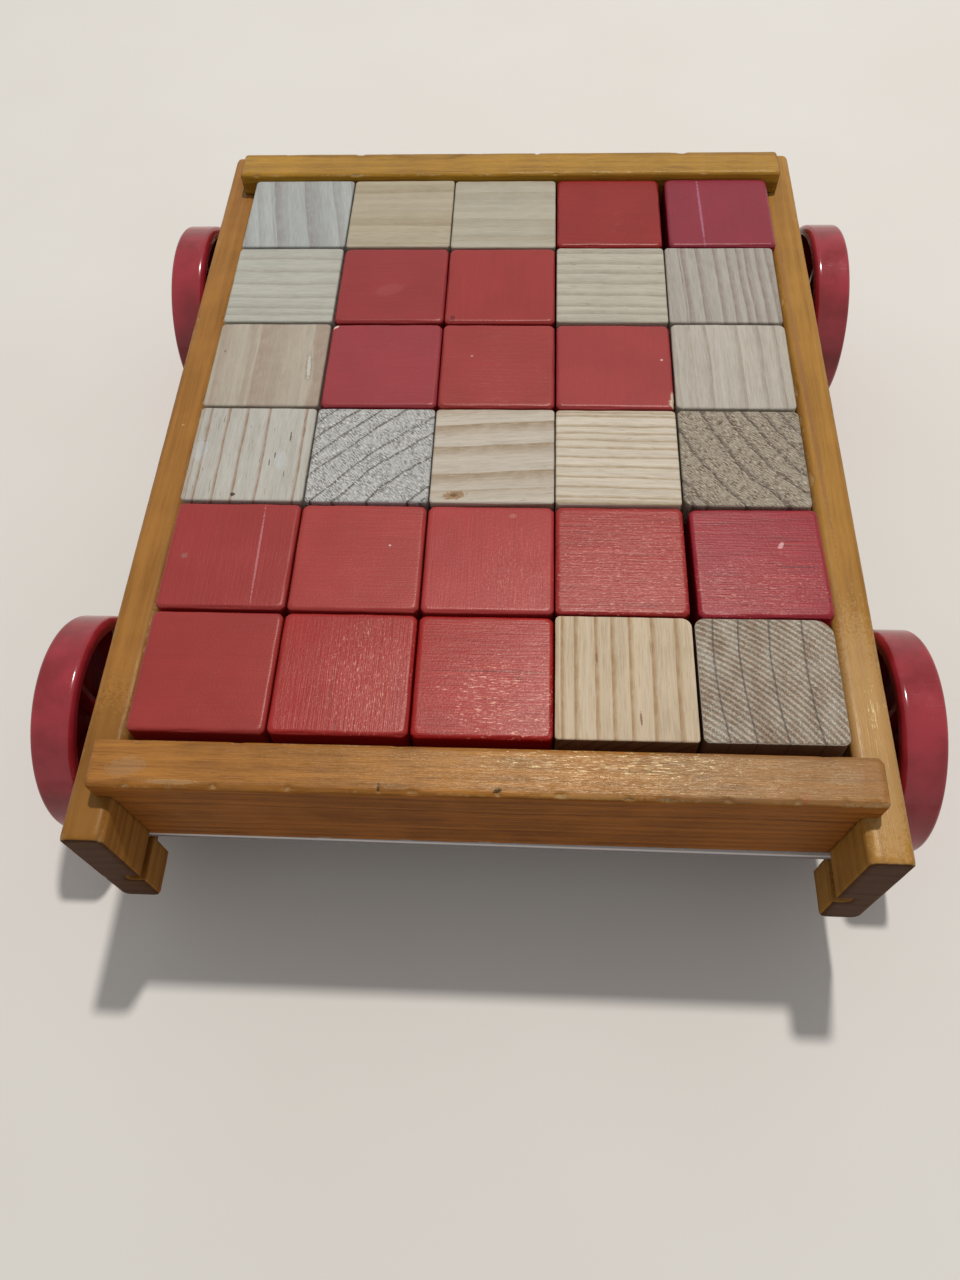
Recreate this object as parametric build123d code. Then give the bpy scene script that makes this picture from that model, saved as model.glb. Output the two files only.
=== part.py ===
from build123d import *
import math
import os

# A toy wagon: a varnished pine tray on four red plastic wheels, filled with loose wooden cubes.
# Millimetres. +Z is up and the floor is Z = 0. +Y runs along the rails from the front board to the
# rear board, +X to the right. The origin is on the floor under the middle of the tray.

os.makedirs("parts", exist_ok=True)

# how a box or cylinder sits on its own origin
UP = (Align.CENTER, Align.CENTER, Align.MIN)
DOWN = (Align.CENTER, Align.CENTER, Align.MAX)

# ---------------------------------------------------------------- driving dimensions
# load of cubes: their colours, rear row first, left to right
NATURAL = "natural"
RED = "red"
LOAD = (
    (NATURAL, NATURAL, NATURAL, RED, RED),
    (NATURAL, RED, RED, NATURAL, NATURAL),
    (NATURAL, RED, RED, RED, NATURAL),
    (NATURAL, NATURAL, NATURAL, NATURAL, NATURAL),
    (RED, RED, RED, RED, RED),
    (RED, RED, RED, NATURAL, NATURAL),
)
BLOCK_SIZE = 40.0
BLOCK_EDGE = 2.0           # rounding of every cube edge
COLUMN_GAP = 0.4
ROW_GAP = 0.9
LEFT_GAP = 1.9             # load to left rail
RIGHT_GAP = 2.5
REAR_GAP = 0.4             # load to rear board
FRONT_GAP = 3.3
JOSTLE = 0.2               # how far a cube lies off its place, as a share of COLUMN_GAP
SWING = 0.12               # and how far its corners are turned round, as a share of COLUMN_GAP
# cubes that have strayed: (row, column): (right, as a share of RIGHT_GAP; back and swing, of ROW_GAP)
STRAYS = {
    (1, 3): (0.0, -0.55, 0.04),
    (1, 5): (0.8, 0.22, 0.0),
    (5, 5): (0.6, 0.0, 0.35),
    (6, 4): (0.0, 0.33, 0.0),
    (6, 5): (0.16, 0.52, 0.08),
}

# tray
RAIL_THICK = 12.5
RAIL_EDGE = 2.5            # rounding of the long edges
RAIL_END_EDGE = 1.0
FRONT_OVERHANG = 12.5      # rails past the front board
REAR_OVERHANG = 10.5
BOARD_THICK = 14.4
FRONT_LEAN = 2.0           # the front board's top leans outwards, in degrees
BOARD_EDGE = 1.6
LUG_REACH = 5.0            # board lug onto the rail's top
LUG_HEIGHT = 9.0
TRAY_DEPTH = 33.3          # rail top to floor panel
PANEL_THICK = 3.2
PANEL_FRONT_SETBACK = 1.5  # panel's end behind the front board's outer face
PANEL_REAR_SETBACK = 3.5
PANEL_SKEW = 1.2           # the panel's front edge juts out by this at its right end
PANEL_SIDE_CLEARANCE = 0.2
KERF_CLEARANCE = 0.6       # saw kerf in the rails, higher than the panel by this
GROOVE_DEPTH = 5.0

# running gear
WHEEL_RADIUS = 36.25
WHEEL_WIDTH = 13.4
TREAD_OUTER_ROUND = 1.5
TREAD_INNER_ROUND = 2.2
RIM_WALL = 3.8
WEB_THICK = 3.0
WEB_RECESS = 1.8           # web's outer face behind the rim's outer edge
RING_RADIUS = 24.0         # raised ring on the web
RING_WIDTH = 2.4
RING_HEIGHT = 0.8
HUB_RADIUS = 7.5
HUB_RECESS = 1.2           # hub's outer end behind the rim's outer edge
RIB_COUNT = 6
RIB_THICK = 2.0
RIB_SETBACK = 3.0          # ribs behind the rim's inner edge
RIB_ROOT = 1.0             # how far the ribs run into hub, rim and web
RIM_GAP = 7.2              # rail to rim
AXLE_RADIUS = 2.5
AXLE_CHAMFER = 0.4
AXLE_BELOW_PANEL = 9.3     # panel's underside to axle
RAIL_BELOW_AXLE = 8.2      # axle to rail's underside
AXLE_FROM_FRONT = 57.0     # rail's front end to front axle
AXLE_FROM_REAR = 44.0
WHEEL_PLAY = 4.1           # a wheel can slide this far out along its axle
AXLE_CLEARANCE = 0.02      # radial, driven into the rails and caps
BORE_CLEARANCE = 0.08      # radial, wheel turning on the axle
WASHER_RADIUS = 6.0
WASHER_THICK = 1.0
END_CLEARANCE = 0.3        # axial, hub to washer and hub to cap
CAP_RADIUS = 6.0
CAP_LENGTH = 4.0
CAP_ROUND = 2.8
CAP_WALL = 1.4             # cap material beyond the axle's end

# fasteners
SCREW_RADIUS = 1.75
SCREW_LENGTH = 35.0
SCREW_HEAD_RADIUS = 3.5
SCREW_HEAD_DEPTH = 2.2
SCREW_TIP = 4.0
SCREW_DROPS = (9.0, 25.0)  # below the rail top
CROSS_WIDTH = 0.9
CROSS_SPAN = 4.2
CROSS_DEPTH = 1.2
NAIL_RADIUS = 0.8
NAIL_LENGTH = 16.0
NAIL_HEAD_RADIUS = 2.2
NAIL_HEAD_THICK = 0.8
NAILS_PER_RAIL = 5
NAILS_PER_BOARD = 4
NAIL_END_MARGIN = 20.0     # from the boards to the rails' first nail
NAIL_TO_SCREW = 8.0        # from a screw's tip to a board's first nail
HOLE_CLEARANCE = 0.03      # radial, screws and nails in their holes

# ---------------------------------------------------------------- what follows from them
COLUMNS = len(LOAD[0])
ROWS = len(LOAD)
TRAY_WIDTH = LEFT_GAP + COLUMNS * BLOCK_SIZE + (COLUMNS - 1) * COLUMN_GAP + RIGHT_GAP
TRAY_LENGTH = FRONT_GAP + ROWS * BLOCK_SIZE + (ROWS - 1) * ROW_GAP + REAR_GAP
RAIL_LENGTH = TRAY_LENGTH + 2 * BOARD_THICK + FRONT_OVERHANG + REAR_OVERHANG
RAIL_X = TRAY_WIDTH / 2 + RAIL_THICK / 2
RAIL_FACE_X = TRAY_WIDTH / 2 + RAIL_THICK

AXLE_Z = WHEEL_RADIUS
RAIL_BOTTOM_Z = AXLE_Z - RAIL_BELOW_AXLE
PANEL_BOTTOM_Z = AXLE_Z + AXLE_BELOW_PANEL
TRAY_FLOOR_Z = PANEL_BOTTOM_Z + PANEL_THICK
RAIL_TOP_Z = TRAY_FLOOR_Z + TRAY_DEPTH
RAIL_HEIGHT = RAIL_TOP_Z - RAIL_BOTTOM_Z
FRONT_AXLE_Y = -RAIL_LENGTH / 2 + AXLE_FROM_FRONT
REAR_AXLE_Y = RAIL_LENGTH / 2 - AXLE_FROM_REAR
# middle planes of the boards, and of the tray between them
BOARD_YS = {
    -1: -RAIL_LENGTH / 2 + FRONT_OVERHANG + BOARD_THICK / 2,
    1: RAIL_LENGTH / 2 - REAR_OVERHANG - BOARD_THICK / 2,
}
TRAY_Y = (BOARD_YS[-1] + BOARD_YS[1]) / 2
PANEL_FRONT_Y = -RAIL_LENGTH / 2 + FRONT_OVERHANG + PANEL_FRONT_SETBACK
PANEL_REAR_Y = RAIL_LENGTH / 2 - REAR_OVERHANG - PANEL_REAR_SETBACK

HUB_REACH = RIM_GAP - WASHER_THICK - END_CLEARANCE   # hub past the rim's inner edge
HUB_END = WHEEL_WIDTH - HUB_RECESS
RIM_X = RAIL_FACE_X + RIM_GAP
CAP_X = RIM_X + HUB_END + WHEEL_PLAY + END_CLEARANCE
AXLE_END_X = CAP_X + CAP_LENGTH - CAP_WALL


def save(shape, node):
    export_step(shape, f"parts/{node}.step")


def along_x(radius, length, x, y, z):
    """Cylinder along +X from x."""
    return Pos(x, y, z) * Rot(0, 90, 0) * Cylinder(radius, length, align=UP)


def screw_places():
    """(side, y, z) of every board screw."""
    return [
        (side, board_y, RAIL_TOP_Z - drop)
        for side in (-1, 1)
        for board_y in BOARD_YS.values()
        for drop in SCREW_DROPS
    ]


def spread(count, half):
    """Evenly spaced positions from -half to half."""
    return [-half + 2 * half * i / (count - 1) for i in range(count)]


def nail_places():
    """(x, y) of every nail, along the rails' rebates and under the boards."""
    rail_x = TRAY_WIDTH / 2 + GROOVE_DEPTH / 2
    rail_nails = [
        (side * rail_x, TRAY_Y + y)
        for side in (-1, 1)
        for y in spread(NAILS_PER_RAIL, TRAY_LENGTH / 2 - NAIL_END_MARGIN)
    ]
    screw_tip_x = RAIL_FACE_X - SCREW_LENGTH
    board_nails = [
        (x, board_y)
        for board_y in BOARD_YS.values()
        for x in spread(NAILS_PER_BOARD, screw_tip_x - NAIL_TO_SCREW)
    ]
    return rail_nails + board_nails


# ---------------------------------------------------------------- fasteners
def screw(side, y, z, clearance=0.0):
    """Countersunk wood screw, its head flush with the rail's outer face, pointing inwards.

    With a clearance it is the hole that the screw sits in, and has no cross recess.
    """
    shank = SCREW_RADIUS + clearance
    head = SCREW_HEAD_RADIUS + clearance
    outline = Polyline(
        (0, 0),
        (head, 0),
        (shank, -SCREW_HEAD_DEPTH),
        (shank, -(SCREW_LENGTH - SCREW_TIP)),
        (0, -SCREW_LENGTH),
        close=True,
    )
    body = revolve(Plane.XZ * make_face(outline), Axis.Z)
    if clearance == 0.0:
        arm = Box(CROSS_SPAN, CROSS_WIDTH, CROSS_DEPTH, align=DOWN)
        body -= arm
        body -= Rot(0, 0, 90) * arm
    return Pos(side * RAIL_FACE_X, y, z) * Rot(0, side * 90, 0) * body


def nail(x, y, clearance=0.0):
    """Flat-headed nail driven up through the panel, its head under the panel."""
    underside = Pos(x, y, PANEL_BOTTOM_Z)
    shank = underside * Cylinder(NAIL_RADIUS + clearance, NAIL_LENGTH, align=UP)
    if clearance:
        return shank
    return shank + underside * Cylinder(NAIL_HEAD_RADIUS, NAIL_HEAD_THICK, align=DOWN)


# ---------------------------------------------------------------- tray
def rail(side):
    """Side rail with its kerf, the rebate for the panel, and holes for axles, screws and nails."""
    body = Box(RAIL_THICK, RAIL_LENGTH, RAIL_HEIGHT)
    body = fillet(body.edges().filter_by(Axis.Y), RAIL_EDGE)
    ends = body.faces().sort_by(Axis.Y)
    body = fillet(ends[0].edges() + ends[-1].edges(), RAIL_END_EDGE)
    body = Pos(side * RAIL_X, 0, RAIL_TOP_Z - RAIL_HEIGHT / 2) * body

    cut_x = side * (TRAY_WIDTH / 2 + GROOVE_DEPTH / 2)
    kerf = Box(GROOVE_DEPTH, RAIL_LENGTH, PANEL_THICK + KERF_CLEARANCE, align=DOWN)
    body -= Pos(cut_x, 0, TRAY_FLOOR_Z) * kerf
    rebate = Box(GROOVE_DEPTH, PANEL_REAR_Y - PANEL_FRONT_Y, TRAY_FLOOR_Z - RAIL_BOTTOM_Z, align=DOWN)
    body -= Pos(cut_x, (PANEL_FRONT_Y + PANEL_REAR_Y) / 2, TRAY_FLOOR_Z) * rebate

    for y in (FRONT_AXLE_Y, REAR_AXLE_Y):
        body -= along_x(AXLE_RADIUS + AXLE_CLEARANCE, RAIL_THICK, side * RAIL_X - RAIL_THICK / 2, y, AXLE_Z)
    for place in screw_places():
        if place[0] == side:
            body -= screw(*place, clearance=HOLE_CLEARANCE)
    for x, y in nail_places():
        if x * side > TRAY_WIDTH / 2:
            body -= nail(x, y, clearance=HOLE_CLEARANCE)
    return body


def end_board(end, lean):
    """Cross board between the rails, its top widened into a lug over each rail.

    It stands on the outer lower edges of its lugs, and leans outwards over them.
    """
    half = TRAY_WIDTH / 2
    reach = half + LUG_REACH
    outline = Polyline(
        (-reach, 0),
        (-half, 0),
        (-half, -TRAY_DEPTH),
        (half, -TRAY_DEPTH),
        (half, 0),
        (reach, 0),
        (reach, LUG_HEIGHT),
        (-reach, LUG_HEIGHT),
        close=True,
    )
    body = extrude(Plane.XZ * make_face(outline), BOARD_THICK / 2, both=True)
    top = body.edges().group_by(Axis.Z)[-1]
    lug_ends = body.edges().filter_by(Axis.Z).filter_by(lambda e: abs(e.center().X) > half + LUG_REACH / 2)
    body = fillet(top + lug_ends, BOARD_EDGE)
    outer_face = Pos(0, end * BOARD_THICK / 2, 0)
    leaning = outer_face * Rot(-end * lean, 0, 0) * outer_face.inverse() * body
    body = Pos(0, BOARD_YS[end], RAIL_TOP_Z) * leaning
    for side, y, z in screw_places():
        if y == BOARD_YS[end]:
            body -= screw(side, y, z, clearance=HOLE_CLEARANCE)
    for x, y in nail_places():
        if y == BOARD_YS[end]:
            body -= nail(x, y, clearance=HOLE_CLEARANCE)
    return body


def floor_panel():
    """Thin panel in the rails' rebates, under the end boards, its front edge cut askew."""
    half = TRAY_WIDTH / 2 + GROOVE_DEPTH - PANEL_SIDE_CLEARANCE
    outline = Polyline(
        (-half, PANEL_FRONT_Y),
        (half, PANEL_FRONT_Y - PANEL_SKEW),
        (half, PANEL_REAR_Y),
        (-half, PANEL_REAR_Y),
        close=True,
    )
    body = extrude(Pos(0, 0, PANEL_BOTTOM_Z) * make_face(outline), PANEL_THICK)
    for x, y in nail_places():
        body -= nail(x, y, clearance=HOLE_CLEARANCE)
    return body


# ---------------------------------------------------------------- running gear
def axle(y):
    """Plain steel rod through both rails."""
    rod = along_x(AXLE_RADIUS, 2 * AXLE_END_X, -AXLE_END_X, y, AXLE_Z)
    return chamfer(rod.edges(), AXLE_CHAMFER)


def wheel_body():
    """Moulded wheel about +Z: rim open towards the rail (-Z), web, raised ring, hub and ribs."""
    web_out = WHEEL_WIDTH - WEB_RECESS
    web_in = web_out - WEB_THICK
    rim_in = WHEEL_RADIUS - RIM_WALL
    bore = AXLE_RADIUS + BORE_CLEARANCE
    outline = Polyline(
        (bore, -HUB_REACH),
        (HUB_RADIUS, -HUB_REACH),
        (HUB_RADIUS, web_in),
        (rim_in, web_in),
        (rim_in, 0),
        (WHEEL_RADIUS, 0),
        (WHEEL_RADIUS, WHEEL_WIDTH),
        (rim_in, WHEEL_WIDTH),
        (rim_in, web_out),
        (RING_RADIUS, web_out),
        (RING_RADIUS, web_out + RING_HEIGHT),
        (RING_RADIUS - RING_WIDTH, web_out + RING_HEIGHT),
        (RING_RADIUS - RING_WIDTH, web_out),
        (HUB_RADIUS, web_out),
        (HUB_RADIUS, HUB_END),
        (bore, HUB_END),
        close=True,
    )
    face = make_face(outline)

    def corner(r, a):
        return [v for v in face.vertices() if abs(v.X - r) < 1e-6 and abs(v.Y - a) < 1e-6]

    face = fillet(corner(WHEEL_RADIUS, WHEEL_WIDTH), TREAD_OUTER_ROUND)
    face = fillet(corner(WHEEL_RADIUS, 0), TREAD_INNER_ROUND)
    body = revolve(Plane.XZ * face, Axis.Z)
    rib_length = rim_in - HUB_RADIUS + 2 * RIB_ROOT
    rib_depth = web_in - RIB_SETBACK + RIB_ROOT
    rib = Box(rib_length, RIB_THICK, rib_depth, align=(Align.MIN, Align.CENTER, Align.MIN))
    for i in range(RIB_COUNT):
        body += Rot(0, 0, 360 * i / RIB_COUNT) * Pos(HUB_RADIUS - RIB_ROOT, 0, RIB_SETBACK) * rib
    return body


def on_axle(body, side, y, x):
    """Puts a body made about +Z on an axle, its +Z outwards, its Z = 0 at x from the middle."""
    return Pos(side * x, y, AXLE_Z) * Rot(0, side * 90, 0) * body


def washer():
    """Flat washer about +Z."""
    ring = Cylinder(WASHER_RADIUS, WASHER_THICK, align=UP)
    return ring - Cylinder(AXLE_RADIUS + BORE_CLEARANCE, WASHER_THICK, align=UP)


def hub_cap():
    """Domed push-on cap about +Z, with a blind hole for the axle's end."""
    dome = Cylinder(CAP_RADIUS, CAP_LENGTH, align=UP)
    dome = fillet(dome.edges().group_by(Axis.Z)[-1], CAP_ROUND)
    return dome - Cylinder(AXLE_RADIUS + AXLE_CLEARANCE, CAP_LENGTH - CAP_WALL, align=UP)


# ---------------------------------------------------------------- load
def block_places():
    """(row, column, x, y, turn in degrees) of each cube; row 1 is at the rear, column 1 at the left."""
    left = -TRAY_WIDTH / 2 + LEFT_GAP + BLOCK_SIZE / 2
    rear = TRAY_Y + TRAY_LENGTH / 2 - REAR_GAP - BLOCK_SIZE / 2
    places = []
    for row in range(ROWS):
        for column in range(COLUMNS):
            if (row + 1, column + 1) in STRAYS:
                right, back, swing = STRAYS[row + 1, column + 1]
                right *= RIGHT_GAP
                back *= ROW_GAP
                swing *= ROW_GAP
            else:
                phase = 2.4 * (row * COLUMNS + column)
                right = COLUMN_GAP * JOSTLE * math.sin(phase)
                back = COLUMN_GAP * JOSTLE * math.cos(1.7 * phase)
                swing = COLUMN_GAP * SWING * math.sin(3.1 * phase + 1)
            x = left + column * (BLOCK_SIZE + COLUMN_GAP) + right
            y = rear - row * (BLOCK_SIZE + ROW_GAP) + back
            turn = math.degrees(swing / (BLOCK_SIZE / 2))
            places.append((row + 1, column + 1, x, y, turn))
    return places


def block():
    """Cube with every edge rounded, standing on Z = 0."""
    cube = Box(BLOCK_SIZE, BLOCK_SIZE, BLOCK_SIZE, align=UP)
    return fillet(cube.edges(), BLOCK_EDGE)


# ---------------------------------------------------------------- write every node
SIDES = {"left": -1, "right": 1}
AXLES = {"front": FRONT_AXLE_Y, "rear": REAR_AXLE_Y}

for side_name, side_sign in SIDES.items():
    save(rail(side_sign), f"{side_name}_rail")
save(end_board(-1, FRONT_LEAN), "front_board")
save(end_board(1, 0.0), "rear_board")
save(floor_panel(), "floor_panel")
save(Compound([screw(*place) for place in screw_places()]), "board_screws")
save(Compound([nail(*place) for place in nail_places()]), "panel_nails")

moulding = wheel_body()
for end_name, axle_y in AXLES.items():
    save(axle(axle_y), f"{end_name}_axle")
    for side_name, side_sign in SIDES.items():
        # the front left wheel has slid out against its cap
        slid = WHEEL_PLAY if (end_name, side_name) == ("front", "left") else 0.0
        save(on_axle(moulding, side_sign, axle_y, RIM_X + slid), f"{end_name}_{side_name}_wheel")
        save(on_axle(washer(), side_sign, axle_y, RAIL_FACE_X), f"{end_name}_{side_name}_washer")
        save(on_axle(hub_cap(), side_sign, axle_y, CAP_X), f"{end_name}_{side_name}_cap")

cube = block()
for row, column, x, y, turn in block_places():
    colour = LOAD[row - 1][column - 1]
    save(Pos(x, y, TRAY_FLOOR_Z) * Rot(0, 0, turn) * cube, f"{colour}_block_r{row}c{column}")
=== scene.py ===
"""Looks of a toy wagon: a worn varnished tray on red plastic wheels, full of loose wooden cubes.

Lengths are in metres unless a name ends in _mm. Wood figures are worked out in millimetres.
"""

import math

import bpy
import numpy as np
from mathutils import Matrix, Vector, noise


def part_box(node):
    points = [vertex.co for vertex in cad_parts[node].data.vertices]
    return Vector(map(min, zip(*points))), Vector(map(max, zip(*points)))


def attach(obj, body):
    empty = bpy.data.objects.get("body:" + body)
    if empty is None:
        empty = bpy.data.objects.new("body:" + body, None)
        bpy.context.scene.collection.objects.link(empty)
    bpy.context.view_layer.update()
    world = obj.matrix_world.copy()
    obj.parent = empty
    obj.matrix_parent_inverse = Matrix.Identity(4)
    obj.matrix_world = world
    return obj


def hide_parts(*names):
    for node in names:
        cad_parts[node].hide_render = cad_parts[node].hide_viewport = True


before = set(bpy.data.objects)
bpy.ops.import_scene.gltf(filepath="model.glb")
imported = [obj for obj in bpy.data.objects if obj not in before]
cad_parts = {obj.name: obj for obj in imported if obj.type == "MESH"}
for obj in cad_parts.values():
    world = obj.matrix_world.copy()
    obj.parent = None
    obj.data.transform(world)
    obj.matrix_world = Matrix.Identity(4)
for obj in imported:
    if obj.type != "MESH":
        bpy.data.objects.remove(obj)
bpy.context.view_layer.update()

MM = 0.001
ROWS = 6
COLUMNS = 5


# ---------------------------------------------------------------- colours
def rgb(code):
    """Linear colour of an sRGB hex code."""
    channels = [int(code[i:i + 2], 16) / 255 for i in (0, 2, 4)]
    return tuple(c / 12.92 if c <= 0.04045 else ((c + 0.055) / 1.055) ** 2.4 for c in channels)


def shade(colour, factor):
    return tuple(c * factor for c in colour)


# ---------------------------------------------------------------- node trees
class Shade:
    """One material's node tree. Its methods add nodes and return output sockets."""

    def __init__(self, name):
        self.material = bpy.data.materials.new(name)
        self.material.use_nodes = True
        self.tree = self.material.node_tree
        self.tree.nodes.clear()
        self.bsdf = self.tree.nodes.new("ShaderNodeBsdfPrincipled")
        output = self.tree.nodes.new("ShaderNodeOutputMaterial")
        self.tree.links.new(self.bsdf.outputs["BSDF"], output.inputs["Surface"])

    def plug(self, socket, value):
        if isinstance(value, bpy.types.NodeSocket):
            self.tree.links.new(value, socket)
        elif socket.type == "RGBA":
            socket.default_value = (*value[:3], 1.0)
        else:
            socket.default_value = value

    def set(self, **values):
        """Values or sockets for the shader, by its input names with _ for a space."""
        for name, value in values.items():
            self.plug(self.bsdf.inputs[name.replace("_", " ")], value)

    def math(self, operation, *values):
        node = self.tree.nodes.new("ShaderNodeMath")
        node.operation = operation
        for socket, value in zip(node.inputs, values):
            self.plug(socket, value)
        return node.outputs[0]

    def vector(self, operation, a, b):
        node = self.tree.nodes.new("ShaderNodeVectorMath")
        node.operation = operation
        self.plug(node.inputs[0], a)
        self.plug(node.inputs[1], b)
        return node.outputs["Vector"]

    def place_mm(self, centre=(0, 0, 0), turn=0.0):
        """Position at rest in millimetres from a centre in metres, turned about Z by degrees."""
        node = self.tree.nodes.new("ShaderNodeTexCoord")
        offset = self.vector("SUBTRACT", node.outputs["Object"], tuple(centre))
        scaled = self.vector("MULTIPLY", offset, (1000, 1000, 1000))
        return self.spun(scaled, turn) if turn else scaled

    def spun(self, vector, turn):
        """A vector turned about Z by degrees."""
        node = self.tree.nodes.new("ShaderNodeVectorRotate")
        node.rotation_type = "Z_AXIS"
        node.inputs["Angle"].default_value = math.radians(turn)
        self.plug(node.inputs["Vector"], vector)
        return node.outputs["Vector"]

    def normal(self):
        return self.tree.nodes.new("ShaderNodeTexCoord").outputs["Normal"]

    def split(self, vector):
        node = self.tree.nodes.new("ShaderNodeSeparateXYZ")
        self.plug(node.inputs[0], vector)
        return node.outputs[0], node.outputs[1], node.outputs[2]

    def join(self, x, y, z):
        node = self.tree.nodes.new("ShaderNodeCombineXYZ")
        for socket, value in zip(node.inputs, (x, y, z)):
            self.plug(socket, value)
        return node.outputs[0]

    def noise(self, vector, scale, detail=2.0, roughness=0.5):
        """Noise from about 0 to 1; scale is one number, or three for the three directions."""
        if not isinstance(scale, (int, float)):
            vector = self.vector("MULTIPLY", vector, tuple(scale))
            scale = 1.0
        node = self.tree.nodes.new("ShaderNodeTexNoise")
        self.plug(node.inputs["Vector"], vector)
        node.inputs["Scale"].default_value = scale
        node.inputs["Detail"].default_value = detail
        node.inputs["Roughness"].default_value = roughness
        return node.outputs["Fac"]

    def white(self, value):
        """A fixed random number for each value."""
        node = self.tree.nodes.new("ShaderNodeTexWhiteNoise")
        node.noise_dimensions = "1D"
        self.plug(node.inputs["W"], value)
        return node.outputs["Value"]

    def remap(self, value, low, high, to_low=0.0, to_high=1.0):
        """Value from low to high mapped smoothly to to_low and to_high, and held there beyond."""
        node = self.tree.nodes.new("ShaderNodeMapRange")
        node.interpolation_type = "SMOOTHSTEP"
        for name, number in zip(("From Min", "From Max", "To Min", "To Max"), (low, high, to_low, to_high)):
            node.inputs[name].default_value = number
        self.plug(node.inputs["Value"], value)
        return node.outputs["Result"]

    def curve(self, value, *stops):
        """Value mapped along straight pieces between (place, height) stops."""
        node = self.tree.nodes.new("ShaderNodeValToRGB")
        ramp = node.color_ramp
        while len(ramp.elements) < len(stops):
            ramp.elements.new(0.5)
        for element, (place, height) in zip(ramp.elements, stops):
            element.position = place
            element.color = (height, height, height, 1)
        self.plug(node.inputs["Fac"], value)
        return node.outputs["Color"]

    def bands(self, radius, low, high, ends, width):
        """Rings that darken over a width in mm up to each of their ends, and stop there."""
        node = self.tree.nodes.new("ShaderNodeMapRange")
        node.inputs["From Min"].default_value = low
        node.inputs["From Max"].default_value = high
        self.plug(node.inputs["Value"], radius)
        stops = []
        before = low
        for end in ends:
            start = max(end - width, before + 0.05)
            dark = max(end - 0.45, start + 0.05)
            stops += [(start, 0.0), (dark, 1.0), (end - 0.15, 0.95), (end, 0.0)]
            before = end
        if len(stops) > 32:     # more than a colour ramp holds
            stops = [stop for stop in stops if stop[1] != 0.95]
        return self.curve(node.outputs["Result"], *[((r - low) / (high - low), h) for r, h in stops])

    def mark(self, place, x, y, turn, length, width, ragged=0.5):
        """A streak or spot on top, in mm from the centre: 1 inside, 0 outside, with a ragged outline."""
        a, b, _ = self.split(self.spun(self.vector("SUBTRACT", place, (x, y, 0)), -turn))
        a = self.math("DIVIDE", a, length / 2)
        b = self.math("DIVIDE", b, width / 2)
        far = self.math("SQRT", self.add(self.times(a, a), self.times(b, b)))
        rough = self.times(self.math("SUBTRACT", self.noise(place, 1.1, detail=3), 0.5), 3 * ragged)
        inside = self.remap(self.math("ADD", far, rough), 0.7, 1.1, 1.0, 0.0)
        up = self.split(self.normal())[2]
        return self.times(inside, self.remap(up, 0.3, 0.6))

    def patch(self, place, painted_glint_place):
        """The ragged place on top, as x, y, length and width in mm, where glint dots are painted into the
        colour as highlights.
        """
        x, y, length, width = painted_glint_place
        return self.mark(place, x, y, 0, length, width, ragged=0.9)

    def mix(self, factor, a, b, blend="MIX"):
        node = self.tree.nodes.new("ShaderNodeMix")
        node.data_type = "RGBA"
        node.blend_type = blend
        node.clamp_factor = True
        self.plug(node.inputs["Factor"], factor)
        self.plug(node.inputs[6], a)
        self.plug(node.inputs[7], b)
        return node.outputs[2]

    def attribute(self, name):
        node = self.tree.nodes.new("ShaderNodeAttribute")
        node.attribute_name = name
        return node.outputs["Fac"]

    def add(self, *values):
        total = values[0]
        for value in values[1:]:
            total = self.math("ADD", total, value)
        return total

    def times(self, *values):
        product = values[0]
        for value in values[1:]:
            product = self.math("MULTIPLY", product, value)
        return product

    def bump(self, height_mm):
        node = self.tree.nodes.new("ShaderNodeBump")
        node.inputs["Strength"].default_value = 1.0
        node.inputs["Distance"].default_value = MM
        self.plug(node.inputs["Height"], height_mm)
        self.plug(self.bsdf.inputs["Normal"], node.outputs["Normal"])


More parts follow.
